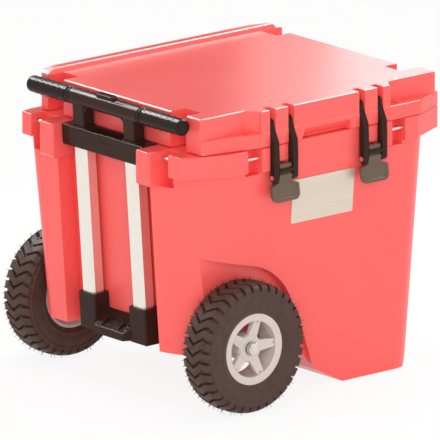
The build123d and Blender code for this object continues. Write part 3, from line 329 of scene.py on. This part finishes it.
def ease_edges(width, *names):
    for name in names:
        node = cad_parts[name]
        weld = node.modifiers.new("weld", "WELD")
        weld.merge_threshold = EDGE_WELD
        ease = node.modifiers.new("ease", "BEVEL")
        ease.width = width
        ease.segments = 2
        ease.profile = 0.5
        ease.limit_method = "ANGLE"
        ease.angle_limit = EDGE_ANGLE
        ease.use_clamp_overlap = False
        ease.harden_normals = False
        flatten = node.modifiers.new("flatten", "WEIGHTED_NORMAL")
        flatten.weight = FLAT_WEIGHT


tube_alloy = drawn(
    "anodised tube", (0.88, 0.835, 0.76), (0.82, 0.775, 0.70), 0.30, (900.0, 900.0, 40.0), 0.85)
dress(satin_black, "tube_guide", "guide_screws", "step_base", "base_screws")
dress(tube_alloy, "fixed_tube_back", "fixed_tube_front")
ease_edges(HANDLE_EASE, "tube_guide", "step_base")

# Pull handle, sliding part: a black frame on two inner tubes, with a sunk release button and rubber grips.
# Each grip is a moulded sleeve with a groove near its flange and rows of small raised dots.
dress(satin_black, "handle_frame", "release_button", "slide_shoe_back", "slide_shoe_front")
dress(tube_alloy, "slide_tube_back", "slide_tube_front")
dress(steel, "release_rods")
ease_edges(HANDLE_EASE, "handle_frame")
grip_rubber = moulded(
    "grip rubber", (0.022, 0.0115, 0.0085), (0.017, 0.009, 0.0065), 0.22, 1200.0, 0.00001, specular=0.13)
GRIP_ROWS, DOT_PITCH, DOT_R, DOT_RISE, GROOVE = 12, 0.0075, 0.0015, 0.5, 0.0016
DOT_START, DOT_MARGIN, GRIP_STEPS, GRIP_JOIN = 0.0165, 0.026, 40, 0.00002
for side in ("back", "front"):
    grip_low, grip_high = (Vector(corner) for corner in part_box("grip_" + side))
    middle = (grip_low + grip_high) / 2
    radius = (grip_high.z - grip_low.z) / 2
    out = 1.0 if middle.y > 0 else -1.0
    start = grip_low.y if out > 0 else grip_high.y
    run = grip_high.y - grip_low.y
    profile = (
        (0.0, 0.0), (0.0, radius - 0.0012), (0.0012, radius), (0.0065, radius), (0.0075, radius - GROOVE),
        (0.0100, radius - GROOVE), (0.0110, radius), (0.0114, radius), (run - 0.0064, radius),
        (run - 0.0060, radius), (run - 0.0030, radius - 0.0008), (run - 0.0012, radius - 0.0022),
        (run - 0.0003, radius - 0.0042), (run, radius - 0.0065), (run, 0.0))
    sleeve = bmesh.new()
    line = [sleeve.verts.new((middle.x, start + out * along, middle.z + away)) for along, away in profile]
    edges = [sleeve.edges.new(pair) for pair in zip(line, line[1:])]
    bmesh.ops.spin(
        sleeve, geom=line + edges, cent=middle, axis=(0, 1, 0), dvec=(0, 0, 0),
        angle=math.tau, steps=GRIP_STEPS, use_merge=True)
    bmesh.ops.remove_doubles(sleeve, verts=sleeve.verts, dist=GRIP_JOIN)
    bmesh.ops.recalc_face_normals(sleeve, faces=sleeve.faces)
    for face in sleeve.faces:
        face.smooth = True
    rows = int((run - DOT_MARGIN) / DOT_PITCH)
    for count in range(rows):
        for row in range(GRIP_ROWS):
            turn = math.tau * (row + 0.5 * (count % 2)) / GRIP_ROWS
            along = start + out * (DOT_START + count * DOT_PITCH)
            spot = Matrix.Translation((middle.x, along, middle.z)) @ Matrix.Rotation(turn, 4, "Y")
            squat = Matrix.Diagonal((1.0, 1.0, DOT_RISE, 1.0))
            dots = bmesh.ops.create_uvsphere(
                sleeve, u_segments=8, v_segments=6, radius=DOT_R,
                matrix=spot @ Matrix.Translation((0, 0, radius)) @ squat)
            for vert in dots["verts"]:
                for face in vert.link_faces:
                    face.smooth = True
    grip = piece("grip_sleeve_" + side, sleeve, grip_rubber, "handle")
    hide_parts("grip_" + side)

# Lid: the same coral moulding as the tub, hinged along the back, with a soft black seal in a groove.
# The seal is pressed in and shows only when the lid is open.
dress(coral, "lid")
dress(soft_rubber, "lid_seal")

# Latches: black yokes hung on steel pins in the lid, grey-brown levers pinned between their cheeks.
# Both are satin mouldings with slightly rounded edges.
LATCH_EASE = 0.0007
lever_grey = moulded(
    "lever grey", (0.135, 0.088, 0.060), (0.115, 0.076, 0.052), 0.36, 1500.0, 0.00003, specular=0.4)
dress(satin_black, "latch_yoke_near", "latch_yoke_far")
dress(lever_grey, "latch_lever_near", "latch_lever_far")
dress(steel, "latch_pins", "lever_pin_near", "lever_pin_far")
ease_edges(LATCH_EASE, "latch_yoke_near", "latch_yoke_far", "latch_lever_near", "latch_lever_far")

# Name plate: a bare pressed plate of brushed alloy, bonded to the front wall.
# Its face is left plain.
plate_alloy = drawn("brushed plate", (0.78, 0.67, 0.56), (0.68, 0.58, 0.49), 0.40, (30.0, 30.0, 1400.0), 0.6)
dress(plate_alloy, "name_plate")


# Studio: a pale floor that keeps a soft shadow, an even white surround, a broad key and a soft top lamp.
# Two strips and a panel behind draw the highlights, and a dark flag keeps the lid's top from washing out.
WORLD_TINT, WORLD_POWER, FLOOR_SPAN, FLOOR_WHITE, CARD_ROUGH = (1.0, 0.985, 0.97, 1), 0.80, 120.0, 0.88, 0.9


def white_mix(tree, lit, weight):
    path = tree.nodes.new("ShaderNodeLightPath")
    seen = tree.nodes.new("ShaderNodeMath")
    seen.operation = "MAXIMUM"
    tree.links.new(path.outputs["Is Camera Ray"], seen.inputs[0])
    tree.links.new(path.outputs["Is Glossy Ray"], seen.inputs[1])
    both = tree.nodes.new("ShaderNodeMath")
    both.operation = "MAXIMUM"
    tree.links.new(seen.outputs[0], both.inputs[0])
    tree.links.new(path.outputs["Is Transmission Ray"], both.inputs[1])
    share = tree.nodes.new("ShaderNodeMath")
    share.operation = "MULTIPLY"
    share.inputs[1].default_value = weight
    tree.links.new(both.outputs[0], share.inputs[0])
    in_world = lit.bl_idname == "ShaderNodeBackground"
    white = tree.nodes.new("ShaderNodeBackground" if in_world else "ShaderNodeEmission")
    white.inputs["Color"].default_value = (1, 1, 1, 1)
    white.inputs["Strength"].default_value = 1.0
    mix = tree.nodes.new("ShaderNodeMixShader")
    tree.links.new(share.outputs[0], mix.inputs["Fac"])
    tree.links.new(lit.outputs[0], mix.inputs[1])
    tree.links.new(white.outputs[0], mix.inputs[2])
    return mix


world = bpy.data.worlds.new("studio")
bpy.context.scene.world = world
world.use_nodes = True
world_lit = world.node_tree.nodes["Background"]
world_lit.inputs["Color"].default_value = WORLD_TINT
world_lit.inputs["Strength"].default_value = WORLD_POWER
world_mix = white_mix(world.node_tree, world_lit, 1.0)
world.node_tree.links.new(world_mix.outputs[0], world.node_tree.nodes["World Output"].inputs["Surface"])


def card(name, size, place, aim, colour):
    mesh = bmesh.new()
    bmesh.ops.create_grid(mesh, x_segments=1, y_segments=1, size=0.5)
    bmesh.ops.scale(mesh, vec=(size[0], size[1], 1.0), verts=mesh.verts)
    turn = (Vector(aim) - Vector(place)).to_track_quat("Z", "Y").to_matrix().to_4x4()
    bmesh.ops.transform(mesh, matrix=Matrix.Translation(place) @ turn, verts=mesh.verts)
    data = bpy.data.meshes.new(name)
    mesh.to_mesh(data)
    mesh.free()
    paint = bpy.data.materials.new(name)
    paint.use_nodes = True
    lit = paint.node_tree.nodes["Principled BSDF"]
    lit.inputs["Base Color"].default_value = (*colour, 1)
    lit.inputs["Roughness"].default_value = CARD_ROUGH
    data.materials.append(paint)
    made = bpy.data.objects.new(name, data)
    bpy.context.scene.collection.objects.link(made)
    return made


floor = card("floor", (FLOOR_SPAN, FLOOR_SPAN), (0, 0, 0), (0, 0, 1), (0.96, 0.96, 0.96))
floor_tree = floor.data.materials[0].node_tree
floor_mix = white_mix(floor_tree, floor_tree.nodes["Principled BSDF"], FLOOR_WHITE)
floor_tree.links.new(floor_mix.outputs[0], floor_tree.nodes["Material Output"].inputs["Surface"])


def softbox(name, place, aim, wide, high, power, diffuse=True, glossy=True):
    lamp = bpy.data.lights.new(name, "AREA")
    lamp.shape = "RECTANGLE"
    lamp.size, lamp.size_y = wide, high
    lamp.energy = power
    stand = bpy.data.objects.new(name, lamp)
    bpy.context.scene.collection.objects.link(stand)
    stand.location = place
    stand.rotation_mode = "QUATERNION"
    stand.rotation_quaternion = (Vector(aim) - Vector(place)).to_track_quat("-Z", "Y")
    stand.visible_diffuse = diffuse
    stand.visible_glossy = glossy


AZIMUTH, ELEVATION = math.radians(-40.21), math.radians(14.93)
ahead = Vector((-math.sin(AZIMUTH), math.cos(AZIMUTH), 0.0))
across = Vector((math.cos(AZIMUTH), math.sin(AZIMUTH), 0.0))
LID_MIDDLE = Vector((0.0, 0.0, 0.52))


def behind(forward, sideways, height):
    return LID_MIDDLE + ahead * forward + across * sideways + Vector((0, 0, height))


softbox("key", (-2.55, -3.0, 1.5), (0, 0, 0.25), 1.8, 1.8, 52.0, glossy=False)
softbox("top", (0.0, 0.0, 2.7), LID_MIDDLE, 1.2, 1.2, 9.0)
softbox("back panel", behind(1.1, 0.62, 0.28), behind(0.0, 0.2, 0.0), 0.9, 0.9, 5.5)
softbox("end strip", (0.0, 1.6, 1.9), LID_MIDDLE, 1.6, 0.32, 65.0, diffuse=False)
softbox("side strip", (1.45, 0.2, 2.2), LID_MIDDLE, 1.6, 0.32, 65.0, diffuse=False)
flag = card(
    "flag", (1.3, 1.5), behind(1.15, -0.62, 0.35), behind(0.0, -0.62, 0.0), (0.02, 0.02, 0.02))
flag.visible_camera = False
flag.visible_diffuse = False
flag.visible_shadow = False

# Camera: a long lens from the latch side and the handle end, a little above the lid.
# It stands far off, so the edges run almost parallel.
FOCAL_PIXELS, FRAME_PIXELS, DISTANCE = 12622.0, 440.0, 21.679
AIM = Vector((-0.01245, 0.00292, 0.26007))
back = -ahead * math.cos(ELEVATION) + Vector((0, 0, math.sin(ELEVATION)))
lens = bpy.data.cameras.new("camera")
lens.sensor_width = 36.0
lens.lens = FOCAL_PIXELS / FRAME_PIXELS * lens.sensor_width
lens.clip_end = 200.0
camera = bpy.data.objects.new("camera", lens)
bpy.context.scene.collection.objects.link(camera)
camera.location = AIM + back * DISTANCE
camera.rotation_mode = "QUATERNION"
camera.rotation_quaternion = (-back).to_track_quat("-Z", "Y")
bpy.context.scene.camera = camera
bpy.context.scene.view_settings.view_transform = "Standard"
